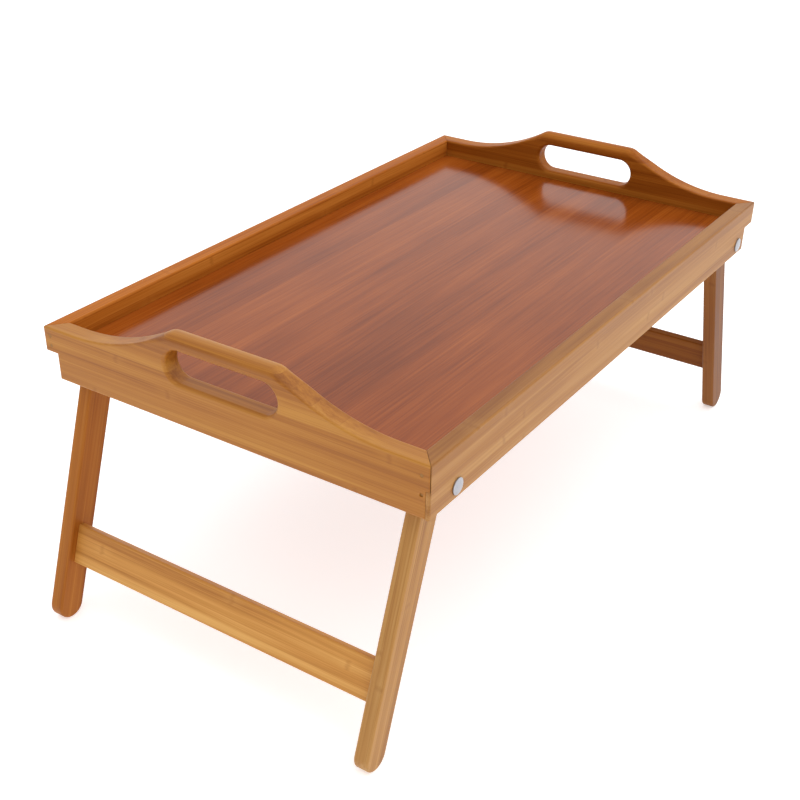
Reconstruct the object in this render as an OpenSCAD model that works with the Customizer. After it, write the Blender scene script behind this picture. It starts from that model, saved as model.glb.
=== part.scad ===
// Folding tray table: a bamboo serving tray on two leg frames that fold flat under its floor.
// X runs along the tray, Y across it and +Z up. The origin is on the ground, under the tray's middle.
// The tray is the same after half a turn about Z, so one end panel and one rail are drawn and turned.

/* [Tray] */
// Length of the tray over its end panels
tray_l = 500; // [440:5:560]
// Width of the tray over its side rails
tray_w = 303; // [260:1:340]
// Height of the boards round the tray
board_h = 36.9; // [36.6:0.1:38]
// Thickness of an end panel
end_t = 14; // [12:0.5:16]
// Thickness of a side rail
rail_t = 12; // [11:0.5:14]
// Depth from the rim down to the top of the floor
floor_drop = 13.5; // [12:0.1:13.8]
// Thickness of the floor board
floor_t = 3.6; // [3:0.1:3.6]

/* [Corners] */
// Height of the mitred upper part of each corner
mitre_h = 17.5; // [17.3:0.1:18.5]
// Thickness of the rail's lip that laps the end panel below the mitre
lip_t = 3; // [2:0.5:4]
// Length of a rail that is cut away below the open corners
rail_notch = 16; // [14:0.5:18]
// Width of an end panel that is cut away below the open corners
panel_notch = 11; // [8:0.5:12]

/* [Handles] */
// Rise of the handle above the rim
handle_rise = 25.5; // [24.5:0.5:26.5]
// Distance from the middle of the handle to the foot of its curve
curve_foot = 125; // [120:1:128]
// Radius of the hollow curve on each side of the handle
curve_r = 150; // [140:1:160]
// Radius of the rounded shoulder at the handle's top
shoulder_r = 12; // [6:1:16]
// Length of the hand hole
hole_l = 88; // [80:1:96]
// Height of the hand hole
hole_h = 22.5; // [20:0.5:24]
// Height of the hand hole's middle above the rim
hole_up = 4; // [3:0.5:6]

/* [Legs] */
// Width of a leg, seen from the side
leg_w = 21; // [18:0.5:21.5]
// Thickness of a leg across the tray
leg_t = 11; // [9:0.5:13]
// Distance from the pivot bolt to the middle of the foot's rounding
leg_reach = 184; // [170:1:190]
// Angle by which an open leg leans outwards
splay = 19; // [10:0.5:20]
// Height of the pivot bolt above the lower edge of the boards
pivot_up = 8.7; // [8:0.1:9]
// Distance along a leg from the pivot to the crossbar
bar_start = 121.5; // [90:0.5:130]
// Height of the crossbar, measured along the legs
bar_h = 29; // [22:1:34]
// Thickness of the crossbar
bar_t = 6.5; // [5:0.5:9]

/* [Hardware] */
// Diameter of the pivot bolt's shank
bolt_d = 6; // [5:0.5:6]
// Diameter of the pivot bolt's head
bolt_head_d = 11; // [10:0.5:12]
// Height of the pivot bolt's domed head
bolt_head_h = 1.8; // [1.4:0.1:2.4]
// Outer diameter of the washers
washer_d = 14; // [12:0.5:16]
// Thickness of the spacer washer between rail and leg
spacer_t = 1.2; // [0.8:0.1:1.6]
// Thickness of the washer under the nut
washer_t = 1; // [0.8:0.1:1.4]
// Distance across the flats of the cap nut
nut_flats = 10; // [9:0.5:11]
// Height of the cap nut's hexagonal part
nut_h = 5; // [4:0.5:6]
// Length of a corner brad
brad_l = 30; // [24:1:34]

/* [Hidden] */
$fn = 96;
cut = 1;                    // how far a cutting shape runs past a face
stop_gap = 1.2;             // an open leg stands this far off the end panel that stops it
slide_gap = 0.2;            // room on each side of a leg between its washers
bore_gap = 0.05;            // radial room of the pivot bolt in a leg
groove_d = 5;               // depth of the groove that holds the floor
tongue_l = 4.5;             // reach of the floor's tongue into the groove
tongue_t = floor_t / 2;
bar_offset = 0.65;          // the crossbar sits this far outside the legs' middle line
tenon_l = 7;
tenon_t = 4;
tenon_inset = 3;            // shoulder above and below the tenon
brad_r = 0.7;
brad_head_r = 1.2;
brad_head_h = 1;
nut_dome_r = 4.2;
bolt_dome_r = (pow(bolt_head_d / 2, 2) + pow(bolt_head_h, 2)) / (2 * bolt_head_h);

half_l = tray_l / 2;
half_w = tray_w / 2;
inner_l = tray_l - 2 * end_t;                 // between the end panels
inner_w = tray_w - 2 * rail_t;                // between the side rails
leg_r = leg_w / 2;
pivot_z = leg_reach * cos(splay) + leg_r;
board_z = pivot_z - pivot_up;                 // lower edge of the boards
rim_z = board_z + board_h;
mitre_z = rim_z - mitre_h;
floor_z = rim_z - floor_drop;                 // top of the floor
// The open leg's outer edge rests against the lower inner edge of the end panel.
pivot_x = half_l - end_t - (leg_r + stop_gap + pivot_up * sin(splay)) / cos(splay);
leg_y = half_w - rail_t - spacer_t - slide_gap - leg_t;   // inner face of a leg
washer_y = leg_y - slide_gap;                 // face of the nut's washer towards the leg
nut_y = washer_y - washer_t;                  // face of the nut
joined_brads = [-8, -21];                     // heights below the rim at the closed corners
open_brads = [-6, -13];                       // heights below the rim at the open corners

bamboo = [0.76, 0.53, 0.28];
leg_bamboo = [0.73, 0.48, 0.24];
floor_brown = [0.55, 0.34, 0.22];
steel = [0.78, 0.78, 0.80];
nylon = [0.90, 0.88, 0.82];

// Turns a piece drawn at the left end to the right end as well.
module at_end(side) {
    rotate([0, 0, side < 0 ? 0 : 180]) children();
}

// Stands a shape drawn in the XY plane up across the tray, with its depth along +X.
module upright_yz(x, depth) {
    translate([x, 0, 0]) rotate([90, 0, 90]) linear_extrude(depth) children();
}

// ---- Tray ----

// One half of the handle's outline above the rim, from its middle to the foot of its curve.
module handle_half() {
    shoulder_z = handle_rise - shoulder_r;
    shoulder_y = curve_foot - sqrt(pow(curve_r + shoulder_r, 2) - pow(curve_r - shoulder_z, 2));
    blend = shoulder_r / (curve_r + shoulder_r);
    touch_y = shoulder_y + (curve_foot - shoulder_y) * blend;
    touch_z = shoulder_z + (curve_r - shoulder_z) * blend;
    translate([-cut, -cut]) square([shoulder_y + cut, handle_rise + cut]);
    translate([shoulder_y, shoulder_z]) circle(shoulder_r);
    difference() {
        polygon([[0, -cut], [curve_foot, -cut], [curve_foot, 0], [touch_y, touch_z],
                 [shoulder_y, shoulder_z], [0, shoulder_z]]);
        translate([curve_foot, curve_r]) circle(curve_r, $fn = 360);
    }
}

module hand_hole() {
    hole_r = hole_h / 2;
    for (way = [-1, 1]) translate([way * (hole_l / 2 - hole_r), 0]) circle(hole_r);
    square([hole_l - hole_h, hole_h], center = true);
}

// Outline of an end panel before its corners are cut.
module panel_outline() {
    difference() {
        union() {
            translate([-half_w, board_z]) square([tray_w, board_h]);
            translate([0, rim_z]) {
                handle_half();
                mirror([1, 0]) handle_half();
            }
        }
        translate([0, rim_z + hole_up]) hand_hole();
    }
}

// Plan of the wedge between a mitre line and the outer corner, at the left front corner.
module rail_side_wedge() {
    polygon([[-half_l, -half_w], [-half_l + end_t, -half_w], [-half_l + end_t, -half_w + rail_t]]);
}
module panel_side_wedge() {
    polygon([[-half_l, -half_w], [-half_l + end_t, -half_w + rail_t], [-half_l, -half_w + rail_t]]);
}

// Brads through the left end panel into the ends of both rails.
module end_brads(shank_r, head_r) {
    for (way = [-1, 1]) for (drop = way < 0 ? joined_brads : open_brads)
        translate([-half_l, way * (half_w - rail_t / 2), rim_z + drop]) rotate([0, 90, 0]) {
            cylinder(h = brad_l, r = shank_r);
            cylinder(h = brad_head_h, r = head_r);
        }
}

module groove() {
    translate([-inner_l / 2 - groove_d, -inner_w / 2 - groove_d, floor_z - floor_t])
        cube([inner_l + 2 * groove_d, inner_w + 2 * groove_d, tongue_t]);
}

module left_panel() {
    difference() {
        upright_yz(-half_l, end_t) panel_outline();
        for (way = [0, 1]) mirror([0, way, 0])
            translate([0, 0, mitre_z]) linear_extrude(mitre_h + cut) rail_side_wedge();
        translate([-half_l - cut, -half_w - cut, board_z - cut])
            cube([end_t + 2 * cut, lip_t + cut, board_h - mitre_h + cut]);
        translate([-half_l - cut, half_w - panel_notch, board_z - cut])
            cube([end_t + 2 * cut, panel_notch + cut, board_h - mitre_h + cut]);
        groove();
        end_brads(brad_r, brad_head_r);
    }
}

module end_panel(side) {
    color(bamboo) at_end(side) left_panel();
}

module front_rail() {
    difference() {
        translate([-half_l, -half_w, board_z]) cube([tray_l, rail_t, board_h]);
        for (way = [0, 1]) mirror([way, 0, 0])
            translate([0, 0, mitre_z]) linear_extrude(mitre_h + cut) panel_side_wedge();
        translate([-half_l - cut, -half_w + lip_t, board_z - cut])
            cube([end_t + cut, rail_t, board_h - mitre_h + cut]);
        translate([half_l - rail_notch, -half_w - cut, board_z - cut])
            cube([rail_notch + cut, rail_t + 2 * cut, board_h - mitre_h + cut]);
        groove();
        for (side = [-1, 1]) translate([side * pivot_x, -half_w - cut, pivot_z]) rotate([-90, 0, 0])
            cylinder(h = rail_t + 2 * cut, d = bolt_d);
        for (side = [-1, 1]) at_end(side) end_brads(brad_r, brad_head_r);
    }
}

module rail(edge) {
    color(bamboo) at_end(edge) front_rail();
}

module floor_board() {
    color(floor_brown) {
        translate([-inner_l / 2, -inner_w / 2, floor_z - floor_t]) cube([inner_l, inner_w, floor_t]);
        translate([-inner_l / 2 - tongue_l, -inner_w / 2 - tongue_l, floor_z - floor_t])
            cube([inner_l + 2 * tongue_l, inner_w + 2 * tongue_l, tongue_t]);
    }
}

// ---- Leg frames ----

// Lays a shape drawn beside the pivot, with -Y down the leg, at the pivot of one leg frame.
module at_pivot(side, y, depth) {
    mirror([side < 0 ? 0 : 1, 0, 0]) translate([-pivot_x, y + depth, pivot_z])
        rotate([90, 0, 0]) rotate([0, 0, -splay]) linear_extrude(depth) children();
}

module leg_outline() {
    circle(leg_r);
    translate([0, -leg_reach]) circle(leg_r);
    translate([-leg_r, -leg_reach]) square([leg_w, leg_reach]);
}

module bar_profile(height, thickness) {
    translate([-bar_offset, -bar_start - bar_h / 2]) square([thickness, height], center = true);
}

module leg(side, edge) {
    y = edge < 0 ? -leg_y - leg_t : leg_y;
    mortise_y = edge < 0 ? -leg_y - tenon_l : leg_y - cut;
    color(leg_bamboo) difference() {
        at_pivot(side, y, leg_t) leg_outline();
        at_pivot(side, y - cut, leg_t + 2 * cut) circle(bolt_d / 2 + bore_gap);
        at_pivot(side, mortise_y, tenon_l + cut) bar_profile(bar_h - 2 * tenon_inset, tenon_t);
    }
}

module crossbar(side) {
    color(leg_bamboo) {
        at_pivot(side, -leg_y, 2 * leg_y) bar_profile(bar_h, bar_t);
        at_pivot(side, -leg_y - tenon_l, 2 * (leg_y + tenon_l))
            bar_profile(bar_h - 2 * tenon_inset, tenon_t);
    }
}

// ---- Pivot hardware ----

// Puts a piece drawn on the Z axis, with +Z outwards, on one pivot's axis.
module on_pivot(side, edge, y) {
    translate([side * pivot_x, edge * y, pivot_z]) rotate([edge < 0 ? 90 : -90, 0, 0]) children();
}

module ring(height, outer_d) {
    difference() {
        cylinder(h = height, d = outer_d);
        translate([0, 0, -cut]) cylinder(h = height + 2 * cut, d = bolt_d);
    }
}

module pivot_bolt(side, edge) {
    color(steel) on_pivot(side, edge, nut_y - nut_h) {
        cylinder(h = half_w - nut_y + nut_h, d = bolt_d);
        translate([0, 0, half_w - nut_y + nut_h]) intersection() {
            translate([0, 0, bolt_head_h - bolt_dome_r]) sphere(bolt_dome_r);
            cylinder(h = bolt_head_h, d = bolt_head_d);
        }
    }
}

module spacer_washer(side, edge) {
    color(nylon) on_pivot(side, edge, half_w - rail_t - spacer_t) ring(spacer_t, washer_d);
}

module nut_washer(side, edge) {
    color(steel) on_pivot(side, edge, nut_y) ring(washer_t, washer_d);
}

module cap_nut(side, edge) {
    nut_corners_d = nut_flats / cos(30);
    color(steel) on_pivot(side, edge, nut_y - nut_h) {
        difference() {
            cylinder(h = nut_h, d = nut_corners_d, $fn = 6);
            translate([0, 0, -cut]) cylinder(h = nut_h + 2 * cut, d = bolt_d);
        }
        difference() {
            sphere(nut_dome_r);
            cylinder(h = nut_dome_r + cut, r = nut_dome_r + cut);
        }
    }
}

module corner_brads() {
    color(steel) for (side = [-1, 1]) at_end(side) end_brads(brad_r, brad_head_r);
}

end_panel(-1);  // end_panel_left
end_panel(1);  // end_panel_right
rail(-1);  // rail_front
rail(1);  // rail_back
floor_board();
leg(-1, -1);  // leg_left_front
leg(-1, 1);  // leg_left_back
crossbar(-1);  // crossbar_left
leg(1, -1);  // leg_right_front
leg(1, 1);  // leg_right_back
crossbar(1);  // crossbar_right
pivot_bolt(-1, -1);  // pivot_bolt_left_front
pivot_bolt(-1, 1);  // pivot_bolt_left_back
pivot_bolt(1, -1);  // pivot_bolt_right_front
pivot_bolt(1, 1);  // pivot_bolt_right_back
spacer_washer(-1, -1);  // spacer_washer_left_front
spacer_washer(-1, 1);  // spacer_washer_left_back
spacer_washer(1, -1);  // spacer_washer_right_front
spacer_washer(1, 1);  // spacer_washer_right_back
nut_washer(-1, -1);  // nut_washer_left_front
nut_washer(-1, 1);  // nut_washer_left_back
nut_washer(1, -1);  // nut_washer_right_front
nut_washer(1, 1);  // nut_washer_right_back
cap_nut(-1, -1);  // cap_nut_left_front
cap_nut(-1, 1);  // cap_nut_left_back
cap_nut(1, -1);  // cap_nut_right_front
cap_nut(1, 1);  // cap_nut_right_back
corner_brads();
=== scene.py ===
"""Folding bamboo tray table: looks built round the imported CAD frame. Metres, in the row frame.

X runs along the tray, Y across it, +Z up. Every wooden piece is built in a frame of its own whose local X
runs along its grain. Those coordinates stay with the piece, so one bamboo recipe fits them all.
"""

import math

import bmesh
import bpy
import numpy as np
from mathutils import Matrix, Vector


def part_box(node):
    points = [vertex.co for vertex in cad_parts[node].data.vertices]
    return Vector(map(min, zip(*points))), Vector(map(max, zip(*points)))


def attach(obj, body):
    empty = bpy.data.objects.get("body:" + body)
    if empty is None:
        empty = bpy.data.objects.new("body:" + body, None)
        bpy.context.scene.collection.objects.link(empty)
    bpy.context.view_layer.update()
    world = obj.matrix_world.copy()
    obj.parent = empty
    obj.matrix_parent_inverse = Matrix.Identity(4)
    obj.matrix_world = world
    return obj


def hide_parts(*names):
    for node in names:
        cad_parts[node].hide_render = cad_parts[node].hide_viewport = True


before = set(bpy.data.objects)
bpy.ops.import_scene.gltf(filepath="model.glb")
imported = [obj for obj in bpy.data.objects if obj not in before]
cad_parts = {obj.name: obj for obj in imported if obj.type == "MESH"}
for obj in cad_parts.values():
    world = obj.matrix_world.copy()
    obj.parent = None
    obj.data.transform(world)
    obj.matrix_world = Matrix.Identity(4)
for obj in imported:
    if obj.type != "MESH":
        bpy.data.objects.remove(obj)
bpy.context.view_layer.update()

MM = 0.001

# ---------------------------------------------------------------- sizes

PANEL_LOW, PANEL_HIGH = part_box("end_panel_left")
RAIL_LOW, RAIL_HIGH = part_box("rail_front")
FLOOR_LOW, FLOOR_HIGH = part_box("floor_board")

HALF_L = -PANEL_LOW.x
END_T = PANEL_HIGH.x - PANEL_LOW.x
HALF_W = -RAIL_LOW.y
RAIL_T = RAIL_HIGH.y - RAIL_LOW.y
BOARD_Z = RAIL_LOW.z
RIM_Z = RAIL_HIGH.z
HANDLE_RISE = PANEL_HIGH.z - RIM_Z
FLOOR_Z = FLOOR_HIGH.z
FLOOR_T = FLOOR_HIGH.z - FLOOR_LOW.z

# Corners of the tray, as in the CAD
MITRE_Z = RIM_Z - 17.5 * MM
LIP_T = 3 * MM
RAIL_NOTCH = 16 * MM
PANEL_NOTCH = 11 * MM
GROOVE_D = 5 * MM
TONGUE_L = 4.5 * MM

# Handle and hand hole, as in the CAD
CURVE_FOOT = 125 * MM
CURVE_R = 150 * MM
SHOULDER_R = 12 * MM
HOLE_L = 88 * MM
HOLE_H = 22.5 * MM
HOLE_UP = 4 * MM

# Leg frames, as in the CAD
LEG_W = 21 * MM
LEG_T = 11 * MM
LEG_REACH = 184 * MM
SPLAY = math.radians(19)
BAR_START = 121.5 * MM
BAR_H = 29 * MM
BAR_T = 6.5 * MM
BAR_OFFSET = 0.65 * MM
TENON_L = 7 * MM
TENON_T = 4 * MM
TENON_INSET = 3 * MM
PIVOT_Z = BOARD_Z + 8.7 * MM
PIVOT_X = (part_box("pivot_bolt_right_front")[0].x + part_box("pivot_bolt_right_front")[1].x) / 2
LEG_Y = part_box("leg_left_back")[0].y

# Hardware, as in the CAD
BOLT_D = 6 * MM
BOLT_HEAD_D = 11 * MM
BOLT_HEAD_H = 1.8 * MM
WASHER_D = 14 * MM
SPACER_T = 1.2 * MM
NUT_WASHER_T = 1 * MM
NUT_FLATS = 10 * MM
NUT_H = 5 * MM
NUT_DOME_R = 4.2 * MM
SLIDE_GAP = 0.2 * MM
NUT_FACE_Y = LEG_Y - SLIDE_GAP - NUT_WASHER_T     # where the cap nut meets its washer
BORE_GAP = 0.05 * MM
BRAD_L = 30 * MM
BRAD_R = 0.7 * MM
BRAD_HEAD_R = 1.2 * MM
BRAD_HEAD_H = 1 * MM
JOINED_BRADS = (-8 * MM, -21 * MM)
OPEN_BRADS = (-6 * MM, -13 * MM)
BRAD_SUNK = 0.04 * MM          # how far a brad's head lies below the wood
LOW_BRAD_SUNK = 0.70 * MM      # the same for the lowest brads, whose holes show as dark dots
LOW_BRAD_UNDER = -18 * MM      # brads further below the rim than this are the lowest ones

# Sanded edges, which the CAD leaves sharp
RIM_ROUND = 1.5 * MM
GRIP_ROUND = (5.0 * MM, 6.7 * MM)    # reach down each face, and depth across the top
GRIP_FULL = 38 * MM         # the grip is fully round this far to each side of its middle
GRIP_END = 62 * MM          # and back to the rim's own edge here
HOLE_ROUND = 2.6 * MM
LEG_ROUND = 1.7 * MM
BAR_ROUND = 1.3 * MM
TENON_ROUND = 0.4 * MM
TENON_TAPER = 0.5 * MM
CUT_EASE = 0.28 * MM
FLOOR_EASE = 0.3 * MM
JOINT_GAP = 0.06 * MM
FLOOR_SEAM = 0.25 * MM
WASHER_EASE = 0.2 * MM
THREAD_GAP = 0.02 * MM
NUT_EASE = 0.25 * MM
DOME_TIP_R = 0.05 * MM
BRAD_GAP = 0.03 * MM
HEAD_EDGE_H = 0.95 * MM     # the straight edge below the bolt head's crown

# Cutters run past the wood by these
CUT_OVER = 3 * MM
CUT_TOP = RIM_Z + 4 * MM
LEG_CUT_OVER = 2 * MM
WEDGE_OUT = 8 * MM
WEDGE_IN = 4 * MM
WEDGE_DEEP = 26 * MM

# How finely curves and long edges are divided
ROUND_STEPS = 8
HOLLOW_STEPS = 30
SHOULDER_STEPS = 12
CREST_STEPS = 4
HOLE_STEPS = 20
HOLE_SIDE_STEPS = 6
PANEL_STEPS = 12
RAIL_STEPS = 20
LEG_END_STEPS = 24
LEG_STEPS = 10
BAR_STEPS = 12
BAR_CORNER_STEPS = 5
LATHE_STEPS = 64
BORE_STEPS = 48
BRAD_STEPS = 24
BRAD_BORE_STEPS = 20
CROWN_STEPS = 11
DOME_STEPS = 12
NUT_STEPS = 72

HALF_TURN = Matrix.Rotation(math.pi, 4, "Z")
LEG_BODIES = {-1: "left_legs", 1: "right_legs"}


# ---------------------------------------------------------------- mesh tools

def axes(x_axis, y_axis, z_axis, origin=(0, 0, 0)):
    """A placing matrix whose local axes are the three given directions."""
    m = Matrix((x_axis, y_axis, z_axis)).transposed().to_4x4()
    m.translation = Vector(origin)
    return m


def new_object(name, bm, place=None):
    """An object from a bmesh, with its normals outwards, at a placing matrix."""
    bmesh.ops.remove_doubles(bm, verts=bm.verts, dist=1e-7)
    bmesh.ops.recalc_face_normals(bm, faces=bm.faces)
    mesh = bpy.data.meshes.new(name)
    bm.to_mesh(mesh)
    bm.free()
    obj = bpy.data.objects.new(name, mesh)
    bpy.context.scene.collection.objects.link(obj)
    if place is not None:
        obj.matrix_world = place
    return obj


def arc(centre, radius, start, end, steps):
    """Points on an arc, angles in radians, both ends included."""
    for k in range(steps + 1):
        a = start + (end - start) * k / steps
        yield (centre[0] + radius * math.cos(a), centre[1] + radius * math.sin(a))


def inset(loop, distances):
    """Moves each point of a counterclockwise loop inwards by its distance."""
    points = np.array(loop, float)
    back = points - np.roll(points, 1, 0)
    on = np.roll(points, -1, 0) - points
    back /= np.linalg.norm(back, axis=1)[:, None]
    on /= np.linalg.norm(on, axis=1)[:, None]
    left_back = np.stack([-back[:, 1], back[:, 0]], 1)
    left_on = np.stack([-on[:, 1], on[:, 0]], 1)
    share = 1 + (left_back * left_on).sum(1)
    return points + (left_back + left_on) / share[:, None] * np.asarray(distances, float)[:, None]


def ring_strips(bm, rings):
    """Quads between each ring of vertices and the next."""
    for low, high in zip(rings, rings[1:]):
        count = len(low)
        for k in range(count):
            bm.faces.new((low[k], low[(k + 1) % count], high[(k + 1) % count], high[k]))


def halves(ring):
    """A loop that crosses its centre line twice: its right side going up and its left side coming down."""
    low, high = sorted((k for k, v in enumerate(ring) if abs(v.co.x) < 1e-7), key=lambda k: ring[k].co.y)
    turned = ring[low:] + ring[:low]
    split = (high - low) % len(ring)
    return turned[:split + 1], turned[split:] + turned[:1]


def close_cap(bm, outer, holes):
    """Closes one face of a board. A hole on the centre line parts the face into a right and a left half."""
    if not holes:
        bm.faces.new(outer)
    for hole in holes:
        for side, hole_side in zip(halves(outer), halves(hole)):
            bm.faces.new(side + hole_side[::-1])


def even_round(size):
    """The same rounding all along a board's edge."""
    return lambda point: (size, size)


def rounded_slab(name, outline, holes, low, high, round_at, place):
    """A board from a counterclockwise outline with holes. Its edges are sanded round at both faces.

    round_at(point) gives how far the rounding reaches in over a face and how deep it goes down the edge.
    """
    bm = bmesh.new()
    caps = [[], []]
    for loop, inward in [(outline, 1)] + [(hole, -1) for hole in holes]:
        rings = []
        for end, sign in ((low, 1), (high, -1)):
            reach, drop = np.array([round_at(p) for p in loop]).T
            made = []
            for k in range(ROUND_STEPS + 1):
                turn = math.pi / 2 * k / ROUND_STEPS
                flat = inset(loop, inward * reach * (1 - math.sin(turn)))
                depth = end + sign * drop * (1 - math.cos(turn))
                made.append([bm.verts.new((p[0], p[1], d)) for p, d in zip(flat, depth)])
            caps[0 if sign > 0 else 1].append(made[0])
            rings.append(made if sign > 0 else made[::-1])
        ring_strips(bm, rings[0] + rings[1])
    for outer, *inner in caps:
        close_cap(bm, outer, inner)
    return new_object(name, bm, place)


def stack(name, loops, place=None):
    """A closed solid from a pile of loops with equal point counts, capped at both ends."""
    bm = bmesh.new()
    rings = [[bm.verts.new(p) for p in loop] for loop in loops]
    ring_strips(bm, rings)
    bm.faces.new(rings[0])
    bm.faces.new(rings[-1])
    return new_object(name, bm, place)


def circle(r, z, steps):
    """A level circle round Z."""
    turns = [2 * math.pi * k / steps for k in range(steps)]
    return [(r * math.cos(t), r * math.sin(t), z) for t in turns]


def lathe(name, profile, place=None, steps=LATHE_STEPS):
    """Turns an open profile of (radius, height) points round Z. Its ends are capped."""
    return stack(name, [circle(r, z, steps) for r, z in profile], place)


def ring_lathe(name, profile, place=None, steps=LATHE_STEPS):
    """Turns a closed profile round Z, for a washer."""
    bm = bmesh.new()
    rings = [[bm.verts.new(p) for p in circle(r, z, steps)] for r, z in profile]
    ring_strips(bm, rings + [rings[0]])
    return new_object(name, bm, place)


def prism(points, low, high):
    """A cutter: a plan polygon between two heights, in the row frame."""
    return stack("cutter", [[(x, y, z) for x, y in points] for z in (low, high)])


def block(low, high):
    """A cutter: a box between two corners, in the row frame."""
    plan = [(low[0], low[1]), (high[0], low[1]), (high[0], high[1]), (low[0], high[1])]
    return prism(plan, low[2], high[2])


def apply_modifiers(obj):
    """Keeps what the modifiers make as plain mesh."""
    bpy.context.view_layer.update()
    graph = bpy.context.evaluated_depsgraph_get()
    mesh = bpy.data.meshes.new_from_object(obj.evaluated_get(graph))
    obj.modifiers.clear()
    obj.data = mesh


def carve(obj, cutters):
    """Cuts each cutter out of obj."""
    for cutter in cutters:
        cut = obj.modifiers.new("cut", "BOOLEAN")
        cut.operation = "DIFFERENCE"
        cut.solver = "EXACT"
        cut.object = cutter
    apply_modifiers(obj)
    for cutter in cutters:
        bpy.data.objects.remove(cutter)


def ease(obj, width, angle=55):
    """Breaks the edges that a saw left sharp."""
    bevel = obj.modifiers.new("ease", "BEVEL")
    bevel.limit_method = "ANGLE"
    bevel.angle_limit = math.radians(angle)
    bevel.width = width
    bevel.segments = 2
    bevel.use_clamp_overlap = False
    apply_modifiers(obj)


def finish_piece(obj, body, nodes, material, sharp=34):
    """Keeps the piece's own coordinates for its grain, puts it in the row frame, hides the CAD parts it stands
    for.
    """
    mesh = obj.data
    own = np.empty(len(mesh.vertices) * 3, np.float32)
    mesh.vertices.foreach_get("co", own)
    mesh.attributes.new("grain", "FLOAT_VECTOR", "POINT").data.foreach_set("vector", own)
    mesh.transform(obj.matrix_world)
    obj.matrix_world = Matrix.Identity(4)
    mesh.materials.clear()
    mesh.materials.append(material)
    mesh.polygons.foreach_set("use_smooth", [True] * len(mesh.polygons))
    mesh.set_sharp_from_angle(angle=math.radians(sharp))
    even = obj.modifiers.new("even_normals", "WEIGHTED_NORMAL")
    even.keep_sharp = True
    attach(obj, body)
    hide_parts(*nodes)
    return obj


# ---------------------------------------------------------------- materials

class Net:
    """Short calls for building a material's nodes."""

    def __init__(self, name):
        self.material = bpy.data.materials.new(name)
        self.material.use_nodes = True
        self.nodes = self.material.node_tree.nodes
        self.links = self.material.node_tree.links
        self.nodes.clear()
        self.out = self.nodes.new("ShaderNodeOutputMaterial")
        self.shader = self.nodes.new("ShaderNodeBsdfPrincipled")
        self.links.new(self.shader.outputs[0], self.out.inputs[0])

    def put(self, socket, value):
        """Links a socket to another, or sets its value."""
        if isinstance(value, bpy.types.NodeSocket):
            self.links.new(value, socket)
        else:
            socket.default_value = value

    def node(self, kind, inputs=None, out=0, **props):
        """A new node's output socket. With out None it is all of its output sockets."""
        made = self.nodes.new(kind)
        for key, value in props.items():
            setattr(made, key, value)
        for key, value in (inputs or {}).items():
            self.put(made.inputs[key], value)
        return made.outputs if out is None else made.outputs[out]

    def own_place(self):
        """Where a point lies in its piece's own frame, local X along the grain."""
        return self.node("ShaderNodeAttribute", out=1, attribute_name="grain")

    def split(self, vector):
        return self.node("ShaderNodeSeparateXYZ", {0: vector}, out=None)

    def join(self, x=0.0, y=0.0, z=0.0):
        return self.node("ShaderNodeCombineXYZ", {0: x, 1: y, 2: z})

    def math(self, operation, a, b=0.0, c=0.0, clamp=False):
        return self.node("ShaderNodeMath", {0: a, 1: b, 2: c}, operation=operation, use_clamp=clamp)

    def sway(self, base, value, gain, clamp=False):
        """The base, moved by gain times how far the value is from one half."""
        return self.math("MULTIPLY_ADD", self.math("SUBTRACT", value, 0.5), gain, base, clamp=clamp)

    def vector(self, operation, a, b):
        return self.node("ShaderNodeVectorMath", {0: a, 1: b}, operation=operation)

    def noise(self, vector, scale, detail=3.0, rough=0.55, distortion=0.0):
        wanted = {
            "Vector": vector, "Scale": scale, "Detail": detail, "Roughness": rough, "Distortion": distortion,
        }
        return self.node("ShaderNodeTexNoise", wanted)

    def stretched(self, vector, stretch, detail=2.0, rough=0.5, distortion=0.0):
        """Noise drawn out along the grain."""
        return self.noise(self.vector("MULTIPLY", vector, stretch), 1.0, detail, rough, distortion)

    def dice(self, kind, inputs):
        """A random value and a random colour for each whole number."""
        return self.node("ShaderNodeTexWhiteNoise", inputs, out=None, noise_dimensions=kind)

    def remap(self, value, low, high, to_low=0.0, to_high=1.0):
        wanted = {0: value, 1: low, 2: high, 3: to_low, 4: to_high}
        return self.node("ShaderNodeMapRange", wanted, interpolation_type="SMOOTHSTEP")

    def glue_line(self, across, width, half_line):
        """1 on the glue lines between strips of this width, 0 away from them."""
        off = self.math("SUBTRACT", self.math("FRACT", self.math("DIVIDE", across, width)), 0.5)
        return self.remap(self.math("ABSOLUTE", off), 0.5 - half_line / width, 0.5)

    def mix(self, factor, a, b):
        made = self.nodes.new("ShaderNodeMix")
        made.data_type = "RGBA"
        for place, value in ((0, factor), (6, a), (7, b)):
            self.put(made.inputs[place], value)
        return made.outputs[2]

    def ramp(self, factor, stops):
        made = self.nodes.new("ShaderNodeValToRGB")
        ramp = made.color_ramp
        while len(ramp.elements) < len(stops):
            ramp.elements.new(0.5)
        for element, (place, colour) in zip(ramp.elements, stops):
            element.position = place
            element.color = colour
        self.put(made.inputs[0], factor)
        return made.outputs[0]

    def bump(self, strength, distance, height):
        return self.node("ShaderNodeBump", {"Strength": strength, "Distance": distance, "Height": height})

    def settle(self, **values):
        """Sets the shader's sockets by name and gives the material."""
        for key, value in values.items():
            self.put(self.shader.inputs[key.replace("_", " ")], value)
        return self.material


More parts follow.
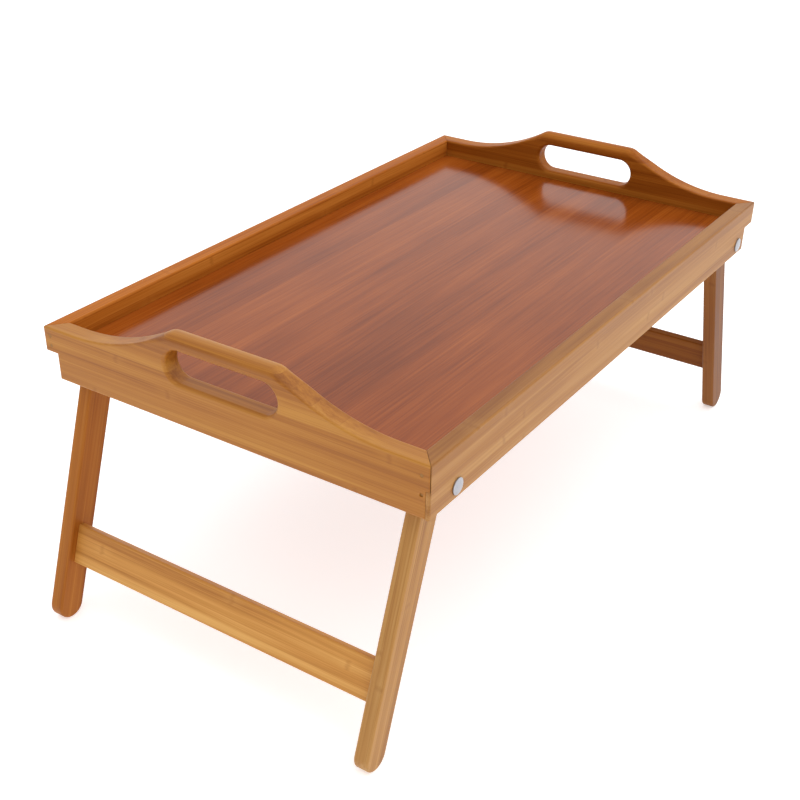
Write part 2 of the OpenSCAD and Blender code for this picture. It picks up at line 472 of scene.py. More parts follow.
# Bamboo. Stretches are noise frequencies per metre along and across the grain.
STRIP_WANDER = 0.0012       # how far a glue line strays from straight
FINE_STRETCH = (16, 1500, 1500)
THREAD_STRETCH = (5, 620, 620)
BROAD_STRETCH = (3.2, 120, 120)
CLOUD_STRETCH = (7, 26, 26)
WAVE_STRETCH = (30, 420, 420)
FIBRE = 0.62                # contrast of the fibres
KNUCKLE_EVERY = 0.21        # from one knuckle of the plant to the next
KNUCKLE_HALF = 0.0030
HALO_HALF = 0.013
KNUCKLE_WAVE = 0.006
GLUE_HALF = 0.00016
SATIN = 0.46                # roughness of the wood's finish


def bamboo(name, light, middle, dark, seed, strip_w, strip_t, sheen):
    """Strip-laminated bamboo. Local X is the grain; strip_w and strip_t are the strips' width and thickness."""
    net = Net(name)
    place = net.own_place()
    x, y, z = net.split(place)

    # each strip has numbers of its own
    wander = net.math("MULTIPLY", net.math("SUBTRACT", net.noise(place, 9.0, 1.0), 0.5), STRIP_WANDER)
    strayed = net.math("ADD", y, wander)
    column = net.math("FLOOR", net.math("DIVIDE", strayed, strip_w))
    layer = net.math("FLOOR", net.math("DIVIDE", z, strip_t))
    own, own_colour = net.dice("3D", {"Vector": net.join(column, layer, seed)})
    own_along, own_across, own_chance = net.node("ShaderNodeSeparateColor", {0: own_colour}, out=None)

    # fibres: long thin streaks that shift from strip to strip
    shift = net.join(net.math("MULTIPLY", own, 3.7), seed * 0.31, net.math("MULTIPLY", own_across, 0.9))
    shifted = net.vector("ADD", place, shift)
    fine = net.stretched(shifted, FINE_STRETCH, 3.0, 0.62)
    thread = net.stretched(shifted, THREAD_STRETCH)
    drifted = net.vector("ADD", place, (seed * 0.17, seed * 0.05, 0.0))
    broad = net.stretched(drifted, BROAD_STRETCH, 2.5, 0.55, 0.4)
    cloud = net.stretched(place, CLOUD_STRETCH)

    # knuckles: the plant's own nodes, one every hand's width or so, in another place on each strip
    wave = net.stretched(shifted, WAVE_STRETCH, 2.0, 0.55)
    wave = net.math("MULTIPLY", net.math("SUBTRACT", wave, 0.5), KNUCKLE_WAVE)
    along = net.math("ADD", net.math("ADD", x, wave), net.math("MULTIPLY", own_along, 7.3))
    phase = net.math("PINGPONG", along, KNUCKLE_EVERY / 2)
    shown = net.remap(own_chance, 0.30, 0.36)
    knuckle = net.math("MULTIPLY", net.remap(phase, 0.0, KNUCKLE_HALF, 1.0, 0.0), shown)
    halo = net.math("MULTIPLY", net.remap(phase, 0.0, HALO_HALF, 1.0, 0.0), shown)

    tone = 0.5
    for part, gain in ((fine, 0.85 * FIBRE), (thread, 0.75 * FIBRE), (broad, 0.80), (cloud, 0.35), (own, 0.26)):
        tone = net.sway(tone, part, gain)
    colour = net.ramp(tone, [(0.18, dark), (0.5, middle), (0.82, light)])
    seam = net.math("MAXIMUM", net.glue_line(strayed, strip_w, GLUE_HALF), net.glue_line(z, strip_t, GLUE_HALF))
    for part, share, towards in ((seam, 0.22, dark), (halo, 0.16, light), (knuckle, 0.34, dark)):
        colour = net.mix(net.math("MULTIPLY", part, share), colour, towards)

    height = net.math("MULTIPLY_ADD", fine, 0.6, net.math("MULTIPLY", thread, 0.4))
    height = net.math("SUBTRACT", height, net.math("MULTIPLY", seam, 0.5))
    height = net.math("ADD", height, net.math("MULTIPLY", knuckle, 0.6))
    bump = net.bump(0.22, 0.00012, height)
    rough = net.sway(net.sway(SATIN, fine, 0.22), cloud, 0.12, clamp=True)
    return net.settle(Base_Color=colour, Roughness=rough, Normal=bump, IOR=1.45, Specular_IOR_Level=sheen)


# Floor board
FLOOR_STRIP_W = 0.021
FLOOR_FINE_STRETCH = (14, 900, 900)
FLOOR_BROAD_STRETCH = (2.4, 46, 46)
FLOOR_CLOUD_STRETCH = (9, 12, 12)
RIPPLE_STRETCH = (18, 60, 60)
FLOOR_GLUE_HALF = 0.0003
FLOOR_GLOSS = 0.16          # roughness of the lacquer
FLOOR_SHEEN = 0.22


def lacquered_floor(name):
    """Thin carbonised bamboo ply under a clear glossy lacquer."""
    net = Net(name)
    place = net.own_place()
    across = net.split(place)[1]
    column = net.math("FLOOR", net.math("DIVIDE", across, FLOOR_STRIP_W))
    own = net.dice("1D", {"W": column})[0]
    shifted = net.vector("ADD", place, net.join(net.math("MULTIPLY", own, 2.9)))
    fine = net.stretched(shifted, FLOOR_FINE_STRETCH, 3.0, 0.6)
    broad = net.stretched(place, FLOOR_BROAD_STRETCH, 3.0, 0.55, 0.5)
    cloud = net.stretched(place, FLOOR_CLOUD_STRETCH, 2.0, 0.55)
    tone = 0.5
    for part, gain in ((fine, 0.9), (broad, 0.8), (cloud, 0.4), (own, 0.22)):
        tone = net.sway(tone, part, gain)
    colour = net.ramp(tone, [(0.2, FLOOR_DARK), (0.5, FLOOR_MIDDLE), (0.8, FLOOR_LIGHT)])
    seam = net.glue_line(across, FLOOR_STRIP_W, FLOOR_GLUE_HALF)
    colour = net.mix(net.math("MULTIPLY", seam, 0.35), colour, FLOOR_DARK)
    ripple = net.stretched(place, RIPPLE_STRETCH, 2.0, 0.4)
    bump = net.bump(0.10, 0.0002, net.math("ADD", ripple, net.math("MULTIPLY", fine, 0.10)))
    rough = net.sway(net.sway(FLOOR_GLOSS, cloud, 0.06), fine, 0.05, clamp=True)
    return net.settle(Base_Color=colour, Roughness=rough, Normal=bump, IOR=1.5, Specular_IOR_Level=FLOOR_SHEEN)


def steel(name, tint, rough_at, metallic=1.0):
    """Plated steel, turned: faint rings round local Z."""
    net = Net(name)
    place = net.own_place()
    x, y, z = net.split(place)
    radius = net.math("SQRT", net.math("ADD", net.math("POWER", x, 2.0), net.math("POWER", y, 2.0)))
    turned = net.join(net.math("MULTIPLY", radius, 5200.0), 0.3, net.math("MULTIPLY", z, 900.0))
    rings = net.noise(turned, 1.0, 2.0, 0.5)
    spots = net.noise(place, 420.0)
    dull = tuple(c * 0.72 for c in tint[:3]) + (1,)
    colour = net.mix(net.remap(spots, 0.35, 0.75, 0.0, 0.35), tint, dull)
    rough = net.sway(net.sway(rough_at, rings, 0.16), spots, 0.12, clamp=True)
    bump = net.bump(0.12, 0.00005, rings)
    return net.settle(Base_Color=colour, Metallic=metallic, Roughness=rough, Normal=bump)


def nylon(name):
    """Off-white moulded nylon."""
    net = Net(name)
    place = net.own_place()
    cloud = net.noise(place, 320.0)
    grit = net.noise(place, 2600.0, 2.0)
    colour = net.mix(cloud, (0.62, 0.58, 0.49, 1), (0.75, 0.72, 0.64, 1))
    bump = net.bump(0.15, 0.00004, grit)
    return net.settle(Base_Color=colour, Roughness=net.sway(0.48, grit, 0.2), Normal=bump)


FLOOR_LIGHT = (0.370, 0.092, 0.011, 1)
FLOOR_MIDDLE = (0.280, 0.060, 0.006, 1)
FLOOR_DARK = (0.185, 0.035, 0.003, 1)
WOOD = ((0.670, 0.365, 0.112), (0.530, 0.240, 0.052), (0.340, 0.122, 0.018))
LEG_STRIPS = (0.0058, 0.0055)     # width and thickness of the strips in a leg
BAR_STRIP_W = 0.0072


def board_wood_with_painted_light(name, tint, seed, strip_w=0.0062, strip_t=0.0200, sheen=0.34):
    """Bamboo for one board: the common wood times the board's tint, a factor per board that paints in the light
    and shade that board gets where it stands.
    """
    light, middle, dark = [tuple(c * t for c, t in zip(colour, tint)) + (1,) for colour in WOOD]
    return bamboo(name, light, middle, dark, seed, strip_w, strip_t, sheen)


# Painted light and shade: the near panel's factor paints it lit, and the far panel's paints it darker and
# deeper orange, as in shade.
PANEL_WOODS = {
    "left": board_wood_with_painted_light("bamboo_panel_left", (0.75, 0.60, 0.29), 3.0, sheen=0.38),
    "right": board_wood_with_painted_light("bamboo_panel_right", (0.70, 0.445, 0.165), 7.0, sheen=0.12),
}
# Painted light: the front rail's paler, pinker factor paints a whitish sheen on it; the back rail's factor
# paints its lit tone.
RAIL_WOODS = {
    "front": board_wood_with_painted_light("bamboo_rail_front", (0.70, 0.645, 0.60), 11.0),
    "back": board_wood_with_painted_light("bamboo_rail_back", (0.97, 0.67, 0.34), 17.0, sheen=0.08),
}
# Painted shade: the far legs' factors and the left back leg's, under the tray, darken them as in shade; the
# near leg's factor paints it lit.
LEG_WOODS = {
    "left_front": board_wood_with_painted_light("bamboo_leg_left_front", (0.82, 0.85, 0.92), 23.0, *LEG_STRIPS),
    "left_back": board_wood_with_painted_light("bamboo_leg_left_back", (0.68, 0.46, 0.20), 29.0, *LEG_STRIPS, 0.2),
    "right_front": board_wood_with_painted_light("bamboo_leg_right_front", (0.42, 0.31, 0.22), 31.0, *LEG_STRIPS, 0.2),
    "right_back": board_wood_with_painted_light("bamboo_leg_right_back", (0.42, 0.31, 0.22), 37.0, *LEG_STRIPS, 0.2),
}
# Painted light and shade: the near crossbar's factor paints it lit, and the far crossbar's paints it dark, as
# in shade.
BAR_WOODS = {
    "left": board_wood_with_painted_light("bamboo_bar_left", (1.08, 1.05, 0.92), 41.0, BAR_STRIP_W),
    "right": board_wood_with_painted_light("bamboo_bar_right", (0.36, 0.23, 0.09), 43.0, BAR_STRIP_W, sheen=0.12),
}
FLOOR_LACQUER = lacquered_floor("lacquered_floor")
BOLT_STEEL = steel("plated_steel", (0.40, 0.40, 0.43, 1), 0.30)
NUT_STEEL = steel("plated_nut_steel", (0.40, 0.40, 0.42, 1), 0.34)
BRAD_STEEL = steel("brad_steel", (0.33, 0.150, 0.030, 1), 0.65, 0.0)
NYLON = nylon("washer_nylon")


# ---------------------------------------------------------------- boards of the tray

def handle_side():
    """The right half of an end panel's top edge, from the rim's end up over the shoulder to the middle."""
    shoulder_z = HANDLE_RISE - SHOULDER_R
    reach = math.sqrt((CURVE_R + SHOULDER_R) ** 2 - (CURVE_R - shoulder_z) ** 2)
    shoulder_y = CURVE_FOOT - reach
    lean = math.atan2(CURVE_R - shoulder_z, CURVE_FOOT - shoulder_y)
    rim_run = [(HALF_W + (CURVE_FOOT - HALF_W) * k / CREST_STEPS, 0.0) for k in range(CREST_STEPS)]
    hollow = arc((CURVE_FOOT, CURVE_R), CURVE_R, -math.pi / 2, -math.pi + lean, HOLLOW_STEPS)
    shoulder = list(arc((shoulder_y, shoulder_z), SHOULDER_R, lean, math.pi / 2, SHOULDER_STEPS))
    crest = [(shoulder_y * (1 - k / CREST_STEPS), HANDLE_RISE) for k in range(1, CREST_STEPS + 1)]
    return rim_run + list(hollow) + shoulder[1:] + crest


def panel_outline():
    """An end panel's outline, across the tray and up."""
    side = handle_side()
    top = [(y, RIM_Z + z) for y, z in side] + [(-y, RIM_Z + z) for y, z in side[-2::-1]]
    bottom = [(-HALF_W + 2 * HALF_W * k / PANEL_STEPS, BOARD_Z) for k in range(PANEL_STEPS + 1)]
    return bottom + top


def hand_hole():
    """The hand hole, as a counterclockwise stadium."""
    r = HOLE_H / 2
    middle = HOLE_L / 2 - r
    z = RIM_Z + HOLE_UP
    right = list(arc((middle, z), r, -math.pi / 2, math.pi / 2, HOLE_STEPS))
    left = list(arc((-middle, z), r, math.pi / 2, 3 * math.pi / 2, HOLE_STEPS))
    upper = [(middle - 2 * middle * k / HOLE_SIDE_STEPS, z + r) for k in range(1, HOLE_SIDE_STEPS)]
    lower = [(-middle + 2 * middle * k / HOLE_SIDE_STEPS, z - r) for k in range(1, HOLE_SIDE_STEPS)]
    return right + upper + left + lower


def panel_round(point):
    """How the panel's edges are sanded: a little at the rim, more at the hand hole, broadly over the grip."""
    y, z = point
    if BOARD_Z < z < RIM_Z + HOLE_UP + HOLE_H / 2 + MM and abs(y) < HOLE_L / 2 + MM:
        return HOLE_ROUND, HOLE_ROUND
    share = max(0.0, min(1.0, (GRIP_END - abs(y)) / (GRIP_END - GRIP_FULL))) if z > RIM_Z else 0.0
    share = share * share * (3 - 2 * share)      # smooth at both ends
    return tuple(RIM_ROUND + (size - RIM_ROUND) * share for size in GRIP_ROUND)


def mitre_wedge(side_of_rail, gap):
    """Plan of what a mitre takes off at the left front corner, from the panel or from the rail."""
    corner = Vector((-HALF_L, -HALF_W))
    inner = Vector((-HALF_L + END_T, -HALF_W + RAIL_T))
    along = (inner - corner).normalized()
    across = Vector((along.y, -along.x)) * (1 if side_of_rail else -1)
    start = corner - along * WEDGE_OUT - across * gap
    end = inner + along * WEDGE_IN - across * gap
    return [start, start + across * WEDGE_DEEP, end + across * WEDGE_DEEP, end]


def flipped(points, flip_x, flip_y):
    """A plan mirrored to another corner, kept counterclockwise."""
    out = [((-x if flip_x else x), (-y if flip_y else y)) for x, y in points]
    return out[::-1] if flip_x != flip_y else out


def groove_block():
    """A cutter for the groove that takes the floor board's tongue."""
    inner_l, inner_w = HALF_L - END_T + GROOVE_D, HALF_W - RAIL_T + GROOVE_D
    bottom = FLOOR_Z - FLOOR_T
    low = (-inner_l, -inner_w, bottom - JOINT_GAP)
    return block(low, (inner_l, inner_w, bottom + FLOOR_T / 2 + JOINT_GAP))


def brad_spots(half_turned):
    """Where brads enter one end panel: the point and the direction they are driven in."""
    for way, drops in ((-1, JOINED_BRADS), (1, OPEN_BRADS)):
        for drop in drops:
            turn = -1 if half_turned else 1
            yield Vector((-HALF_L * turn, way * (HALF_W - RAIL_T / 2) * turn, RIM_Z + drop)), turn


def driven(spot, turn):
    """Places a lathe piece with its Z axis into the tray from an end."""
    return axes((0, 1, 0), (0, 0, turn), (turn, 0, 0), spot)


def brad_bore(spot, turn):
    """A cutter for one brad and its sunk head."""
    profile = [(BRAD_HEAD_R, -1 * MM), (BRAD_HEAD_R, BRAD_HEAD_H), (BRAD_R, BRAD_HEAD_H), (BRAD_R, BRAD_L)]
    return lathe("cutter", profile, driven(spot, turn), BRAD_BORE_STEPS)


def end_panel(end, turned):
    """An end panel: made for the left end, given half a turn for the right one."""
    place = axes((0, 1, 0), (0, 0, 1), (1, 0, 0))
    face_x = -HALF_L + END_T
    panel = rounded_slab(f"panel_{end}", panel_outline(), [hand_hole()], -HALF_L, face_x, panel_round, place)
    wedge = mitre_wedge(True, JOINT_GAP)
    outer_x, inner_x, under = -HALF_L - CUT_OVER, face_x + CUT_OVER, BOARD_Z - CUT_OVER
    cutters = [
        prism(wedge, MITRE_Z, CUT_TOP),
        prism(flipped(wedge, False, True), MITRE_Z, CUT_TOP),
        block((outer_x, -HALF_W - CUT_OVER, under), (inner_x, -HALF_W + LIP_T + JOINT_GAP, MITRE_Z)),
        block((outer_x, HALF_W - PANEL_NOTCH, under), (inner_x, HALF_W + CUT_OVER, MITRE_Z)),
        groove_block(),
    ]
    cutters += [brad_bore(spot, turn) for spot, turn in brad_spots(False)]
    carve(panel, cutters)
    ease(panel, CUT_EASE)
    if turned:
        panel.matrix_world = HALF_TURN @ panel.matrix_world
    return finish_piece(panel, "tray", [f"end_panel_{end}"], PANEL_WOODS[end])


def rail_outline():
    """A side rail's outline, along the tray and up."""
    bottom = [(-HALF_L + 2 * HALF_L * k / RAIL_STEPS, BOARD_Z) for k in range(RAIL_STEPS + 1)]
    top = [(HALF_L - 2 * HALF_L * k / RAIL_STEPS, RIM_Z) for k in range(RAIL_STEPS + 1)]
    return bottom + top


def rail(edge, turned):
    """A side rail: made for the front, given half a turn for the back."""
    place = axes((1, 0, 0), (0, 0, 1), (0, -1, 0))
    name = f"side_rail_{edge}"
    board = rounded_slab(name, rail_outline(), [], HALF_W - RAIL_T, HALF_W, even_round(RIM_ROUND), place)
    wedge = mitre_wedge(False, JOINT_GAP)
    under, inner_y = BOARD_Z - CUT_OVER, -HALF_W + RAIL_T + CUT_OVER
    cutters = [
        prism(wedge, MITRE_Z, CUT_TOP),
        prism(flipped(wedge, True, False), MITRE_Z, CUT_TOP),
        block((-HALF_L - CUT_OVER, -HALF_W + LIP_T, under), (-HALF_L + END_T + JOINT_GAP, inner_y, MITRE_Z)),
        block((HALF_L - RAIL_NOTCH, -HALF_W - CUT_OVER, under), (HALF_L + CUT_OVER, inner_y, MITRE_Z)),
        groove_block(),
    ]
    bore_r = BOLT_D / 2 + BORE_GAP
    bore = [(bore_r, -CUT_OVER), (bore_r, RAIL_T + CUT_OVER)]
    for side in (-1, 1):
        bore_place = axes((1, 0, 0), (0, 0, -1), (0, 1, 0), (side * PIVOT_X, -HALF_W, PIVOT_Z))
        cutters.append(lathe("cutter", bore, bore_place, BORE_STEPS))
    for half_turned in (False, True):
        cutters += [brad_bore(spot, turn) for spot, turn in brad_spots(half_turned) if spot.y < 0]
    carve(board, cutters)
    ease(board, CUT_EASE)
    if turned:
        board.matrix_world = HALF_TURN @ board.matrix_world
    return finish_piece(board, "tray", [f"rail_{edge}"], RAIL_WOODS[edge])


def floor_board():
    """The floor board, with a tongue all round its lower half."""
    inner_l, inner_w = HALF_L - END_T, HALF_W - RAIL_T
    low, high = -FLOOR_T / 2, FLOOR_T / 2

    def plan(grow, z):
        a, b = inner_l + grow, inner_w + grow
        return [(-a, -b, z), (a, -b, z), (a, b, z), (-a, b, z)]

    loops = [
        plan(TONGUE_L - FLOOR_EASE, low),
        plan(TONGUE_L, low + FLOOR_EASE),
        plan(TONGUE_L, 0.0),
        plan(-FLOOR_SEAM, 0.0),
        plan(-FLOOR_SEAM, high - FLOOR_EASE),
        plan(-FLOOR_SEAM - FLOOR_EASE, high),
    ]
    board = stack("floor_panel", loops, Matrix.Translation((0, 0, FLOOR_Z - FLOOR_T / 2)))
    return finish_piece(board, "tray", ["floor_board"], FLOOR_LACQUER)


# ---------------------------------------------------------------- leg frames

def leg_directions(side):
    """Down the open leg and outwards across it, for one end's leg frame."""
    down = Vector((side * math.sin(SPLAY), 0, -math.cos(SPLAY)))
    out = Vector((side * math.cos(SPLAY), 0, math.sin(SPLAY)))
    return down, out


def leg_outline():
    """A leg's outline: straight sides, a half round at each end, the pivot at the origin."""
    r = LEG_W / 2
    foot = list(arc((LEG_REACH, 0), r, -math.pi / 2, math.pi / 2, LEG_END_STEPS))
    head = list(arc((0, 0), r, math.pi / 2, 3 * math.pi / 2, LEG_END_STEPS))
    upper = [(LEG_REACH * (1 - k / LEG_STEPS), r) for k in range(1, LEG_STEPS)]
    lower = [(LEG_REACH * k / LEG_STEPS, -r) for k in range(1, LEG_STEPS)]
    return foot + upper + head + lower


def leg(tail, side, edge):
    """One leg, with a bore for its bolt and a mortise for the crossbar."""
    down, out = leg_directions(side)
    across = down.cross(out)
    place = axes(down, out, across, (side * PIVOT_X, 0, PIVOT_Z))

    def reach(start, end):
        """How far along the leg's own third axis, from one distance off the tray's middle to another."""
        return sorted((edge * start * across.y, edge * end * across.y))

    low, high = reach(LEG_Y, LEG_Y + LEG_T)
    stick = rounded_slab(f"stick_{tail}", leg_outline(), [], low, high, even_round(LEG_ROUND), place)
    bore_r = BOLT_D / 2 + BORE_GAP
    bore = lathe("cutter", [(bore_r, low - LEG_CUT_OVER), (bore_r, high + LEG_CUT_OVER)], place, BORE_STEPS)
    half_h, half_t = BAR_H / 2 - TENON_INSET, TENON_T / 2
    middle = BAR_START + BAR_H / 2
    start, end = middle - half_h, middle + half_h
    near, far = BAR_OFFSET - half_t, BAR_OFFSET + half_t
    plan = [(start, near), (end, near), (end, far), (start, far)]
    depths = reach(LEG_Y - LEG_CUT_OVER, LEG_Y + TENON_L)
    mortise = stack("cutter", [[(u, v, w) for u, v in plan] for w in depths], place)
    carve(stick, [bore, mortise])
    return finish_piece(stick, LEG_BODIES[side], [f"leg_{tail}"], LEG_WOODS[tail])


def crossbar(end, side):
    """A crossbar with a tenon at each end."""
    down, out = leg_directions(side)
    up = -down
    across = Vector((0, 1, 0))
    middle = Vector((side * PIVOT_X, 0, PIVOT_Z)) + down * (BAR_START + BAR_H / 2) + out * BAR_OFFSET
    place = axes(across, up, across.cross(up), middle)

    def section(half_height, half_depth, radius):
        points = []
        for quarter, (h, d) in enumerate(((1, 1), (-1, 1), (-1, -1), (1, -1))):
            centre = (h * (half_height - radius), d * (half_depth - radius))
            start = quarter * math.pi / 2
            points += list(arc(centre, radius, start, start + math.pi / 2, BAR_CORNER_STEPS))
        return points

    tenon_h, tenon_t = BAR_H / 2 - TENON_INSET, TENON_T / 2
    full = section(BAR_H / 2, BAR_T / 2, BAR_ROUND)
    thin = section(tenon_h, tenon_t, TENON_ROUND)
    thin_tip = section(tenon_h - TENON_TAPER, tenon_t - TENON_TAPER, TENON_ROUND / 2)
    tip = LEG_Y + TENON_L
    loops = [(thin_tip, -tip), (thin, -tip + TENON_TAPER), (thin, -LEG_Y)]
    loops += [(full, -LEG_Y + 2 * LEG_Y * k / BAR_STEPS) for k in range(BAR_STEPS + 1)]
    loops += [(thin, LEG_Y), (thin, tip - TENON_TAPER), (thin_tip, tip)]
    bar = stack(f"bar_{end}", [[(x, h, d) for h, d in loop] for loop, x in loops], place)
    return finish_piece(bar, LEG_BODIES[side], [f"crossbar_{end}"], BAR_WOODS[end])


# ---------------------------------------------------------------- hardware

def on_pivot(side, edge, y):
    """Places a lathe piece on a pivot's axis, its Z axis pointing outwards."""
    return axes((1, 0, 0), (0, 0, -edge), (0, edge, 0), (side * PIVOT_X, edge * y, PIVOT_Z))


def pivot_bolt(side, edge, tail):
    """A pivot bolt from its tip in the cap nut to its flat domed head."""
    r = BOLT_HEAD_D / 2
    shank = BOLT_D / 2
    seat = HALF_W - NUT_FACE_Y + NUT_H
    top = seat + BOLT_HEAD_H
    profile = [
        (shank - 0.5 * MM, 0.0), (shank, 0.5 * MM), (shank, seat), (r - 0.10 * MM, seat),
        (r, seat + 0.08 * MM), (r, seat + HEAD_EDGE_H - 0.10 * MM),
    ]
    dome_r = (r * r + BOLT_HEAD_H ** 2) / (2 * BOLT_HEAD_H)
    crown_r = r - 0.12 * MM

    def fall(radius):
        """How far a dome has come down from its top at this radius."""
        return dome_r - math.sqrt(dome_r ** 2 - radius ** 2)

    for k in range(CROWN_STEPS):
        radius = crown_r * (1 - k / CROWN_STEPS)
        profile.append((radius, top - fall(radius) * (BOLT_HEAD_H - HEAD_EDGE_H) / fall(crown_r)))
    profile.append((0.12 * MM, top))
    bolt = lathe(f"bolt_{tail}", profile, on_pivot(side, edge, NUT_FACE_Y - NUT_H))
    return finish_piece(bolt, "tray", [f"pivot_bolt_{tail}"], BOLT_STEEL, 40)


def washer(name, node, side, edge, y, thick, material):
    """A washer with chamfered edges."""
    inner, outer = BOLT_D / 2 + THREAD_GAP, WASHER_D / 2
    c = WASHER_EASE
    half_up = [(inner, c), (inner + c, 0.0), (outer - c, 0.0), (outer - 0.3 * c, 0.3 * c), (outer, c)]
    profile = half_up + [(r, thick - z) for r, z in half_up[::-1]]
    made = ring_lathe(name, profile, on_pivot(side, edge, y))
    return finish_piece(made, "tray", [node], material, 50)


def cap_nut(side, edge, tail):
    """A cap nut: chamfered hexagon, waist and dome, open on its outer face for the bolt."""
    flat = NUT_FLATS / 2
    corner = flat / math.cos(math.pi / 6)
    chamfer = 0.62 * (corner - flat)
    waist = flat - NUT_EASE
    bore = BOLT_D / 2 + THREAD_GAP

    def hexagon(limit, z):
        """A hexagon whose corners are cut back to a round of this radius."""
        points = []
        for k in range(NUT_STEPS):
            t = 2 * math.pi * k / NUT_STEPS
            away = (t % (math.pi / 3)) - math.pi / 6
            r = min(flat / math.cos(away), limit)
            points.append((r * math.cos(t), r * math.sin(t), z))
        return points

    def ring(r, z):
        return circle(r, z, NUT_STEPS)

    loops = [ring(DOME_TIP_R, -NUT_DOME_R)]
    for k in range(DOME_STEPS - 1, -1, -1):
        rise = math.pi / 2 * k / DOME_STEPS
        loops.append(ring(NUT_DOME_R * math.cos(rise), -NUT_DOME_R * math.sin(rise)))
    loops += [
        ring(waist, 0.0), hexagon(flat, 0.02 * MM), hexagon(corner, chamfer),
        hexagon(corner, NUT_H - chamfer), hexagon(flat, NUT_H - 0.02 * MM), ring(waist, NUT_H),
        ring(BOLT_D / 2 + 0.3 * MM, NUT_H), ring(bore, NUT_H - 0.3 * MM), ring(bore, 0.0),
    ]
    nut = stack(f"nut_{tail}", loops, on_pivot(side, edge, NUT_FACE_Y - NUT_H))
    return finish_piece(nut, "tray", [f"cap_nut_{tail}"], NUT_STEEL, 30)


def brads():
    """The eight corner brads, their heads sunk a little below the wood, as one piece."""
    parts = []
    head_r, shank_r = BRAD_HEAD_R - BRAD_GAP, BRAD_R - BRAD_GAP
    for half_turned in (False, True):
        for spot, turn in brad_spots(half_turned):
            sunk = LOW_BRAD_SUNK if spot.z < RIM_Z + LOW_BRAD_UNDER else BRAD_SUNK
            profile = [
                (0.15 * MM, sunk), (head_r * 0.7, sunk + 0.04 * MM), (head_r, sunk + 0.14 * MM),
                (head_r, BRAD_HEAD_H - 0.05 * MM), (shank_r, BRAD_HEAD_H), (shank_r, BRAD_L - 1.5 * MM),
                (0.08 * MM, BRAD_L - 0.1 * MM),
            ]
            parts.append(lathe("brad", profile, driven(spot, turn), BRAD_STEPS))
    bm = bmesh.new()
    for part in parts:
        part.data.transform(part.matrix_world)
        bm.from_mesh(part.data)
        bpy.data.objects.remove(part)
    joined = new_object("brad_pins", bm)
    return finish_piece(joined, "tray", ["corner_brads"], BRAD_STEEL, 40)


# ---------------------------------------------------------------- whole object

def build_table():
    end_panel("left", False)
    end_panel("right", True)
    rail("front", False)
    rail("back", True)
    floor_board()
    for end, side in (("left", -1), ("right", 1)):
        crossbar(end, side)
        for place, edge in (("front", -1), ("back", 1)):
            tail = f"{end}_{place}"
            leg(tail, side, edge)
            pivot_bolt(side, edge, tail)
            washer(f"spacer_{tail}", f"spacer_washer_{tail}", side, edge,
                   HALF_W - RAIL_T - SPACER_T, SPACER_T, NYLON)
            washer(f"nut_ring_{tail}", f"nut_washer_{tail}", side, edge,
                   NUT_FACE_Y, NUT_WASHER_T, NUT_STEEL)
            cap_nut(side, edge, tail)
    brads()


# ---------------------------------------------------------------- stage

GROUND_HALF = 40.0
GROUND_PALE = (0.86, 0.86, 0.86, 1)
ROOM_LEVEL = 0.80
ROOM_LEAN = (0.42, 0.10)      # how much brighter the room is towards +X and towards +Y
KEY_LEVEL = 1.15
KEY_SPREAD = math.radians(80)
KEY_FROM = (-0.18, -0.36, 1.0)
FLOOR_GLOW = 0.48

CAMERA_PLACE = (-0.7451, -0.4533, 0.5793)
CAMERA_HEADING = math.radians(33.44)
CAMERA_DIP = math.radians(32.15)
CAMERA_ROLL = 0.0145
CAMERA_LENS = 56.54
CAMERA_SHIFT = (0.0090, 0.0781)


def ground():
    """A plain pale floor: a white sheet with a faint glow, as a studio sweep lit from below."""
    corners = ((-1, -1), (1, -1), (1, 1), (-1, 1))
    bm = bmesh.new()
    bm.faces.new([bm.verts.new((GROUND_HALF * x, GROUND_HALF * y, 0)) for x, y in corners])
    plane = new_object("ground", bm)
    white = (1, 1, 1, 1)
    pale = Net("pale_floor").settle(
        Base_Color=GROUND_PALE, Roughness=0.75, Emission_Color=white, Emission_Strength=FLOOR_GLOW)
    plane.data.materials.append(pale)


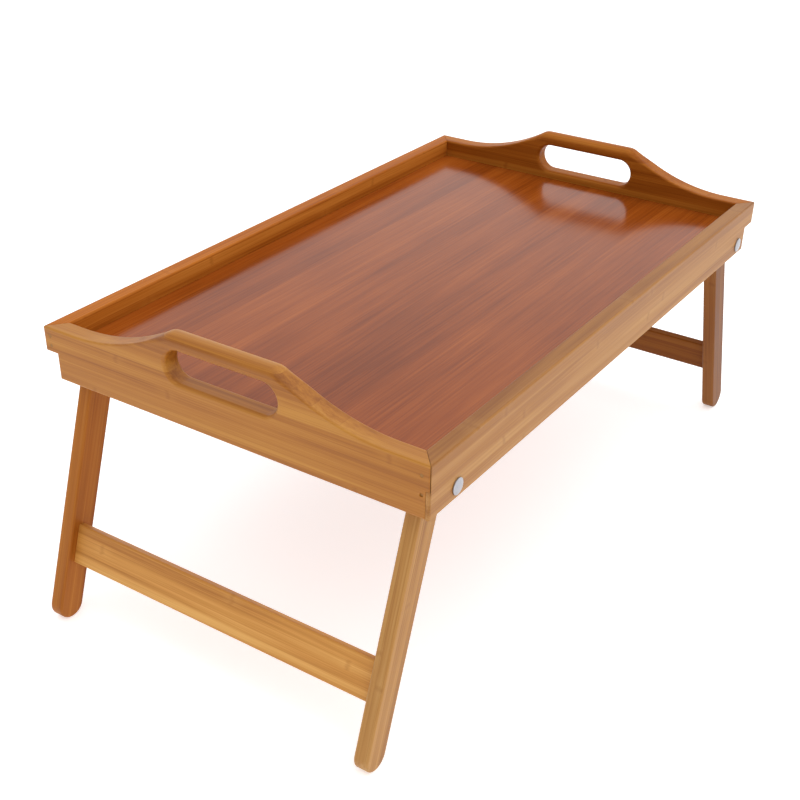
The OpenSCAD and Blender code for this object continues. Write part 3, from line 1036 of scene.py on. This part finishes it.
def soft_light():
    """A white room, brighter beyond the tray than before it, and one broad soft lamp from above.

    The camera itself sees plain white where there is no floor.
    """
    world = bpy.data.worlds.new("white_room")
    bpy.context.scene.world = world
    world.use_nodes = True
    nodes, links = world.node_tree.nodes, world.node_tree.links
    room = nodes["Background"]
    room.inputs[0].default_value = (1, 1, 1, 1)
    way = nodes.new("ShaderNodeSeparateXYZ")
    links.new(nodes.new("ShaderNodeTexCoord").outputs["Generated"], way.inputs[0])
    level = None
    for axis, lean in enumerate(ROOM_LEAN):
        step = nodes.new("ShaderNodeMath")
        step.operation = "MULTIPLY_ADD"
        links.new(way.outputs[axis], step.inputs[0])
        step.inputs[1].default_value = lean
        step.inputs[2].default_value = ROOM_LEVEL
        if level is not None:
            links.new(level, step.inputs[2])
        level = step.outputs[0]
    seen = nodes.new("ShaderNodeMix")
    links.new(nodes.new("ShaderNodeLightPath").outputs["Is Camera Ray"], seen.inputs[0])
    links.new(level, seen.inputs[2])
    seen.inputs[3].default_value = 1.0
    links.new(seen.outputs[0], room.inputs[1])
    lamp = bpy.data.lights.new("key", "SUN")
    lamp.energy = KEY_LEVEL
    lamp.angle = KEY_SPREAD
    key = bpy.data.objects.new("key", lamp)
    key.rotation_mode = "QUATERNION"
    key.rotation_quaternion = (-Vector(KEY_FROM)).to_track_quat("-Z", "Y")
    bpy.context.scene.collection.objects.link(key)


def camera():
    """Where the photographer stood: above the near left, looking down along the tray."""
    data = bpy.data.cameras.new("camera")
    data.sensor_width = 36.0
    data.lens = CAMERA_LENS
    data.shift_x, data.shift_y = CAMERA_SHIFT
    data.clip_start, data.clip_end = 0.01, 60.0
    forward = Vector((
        math.cos(CAMERA_HEADING) * math.cos(CAMERA_DIP),
        math.sin(CAMERA_HEADING) * math.cos(CAMERA_DIP),
        -math.sin(CAMERA_DIP),
    ))
    level = Vector((math.sin(CAMERA_HEADING), -math.cos(CAMERA_HEADING), 0))
    upright = level.cross(forward)
    right = level * math.cos(CAMERA_ROLL) + upright * math.sin(CAMERA_ROLL)
    up = upright * math.cos(CAMERA_ROLL) - level * math.sin(CAMERA_ROLL)
    eye = bpy.data.objects.new("camera", data)
    eye.matrix_world = axes(right, up, -forward, CAMERA_PLACE)
    bpy.context.scene.collection.objects.link(eye)
    bpy.context.scene.camera = eye


camera()
soft_light()
ground()
build_table()
bpy.context.scene.view_settings.view_transform = "Standard"
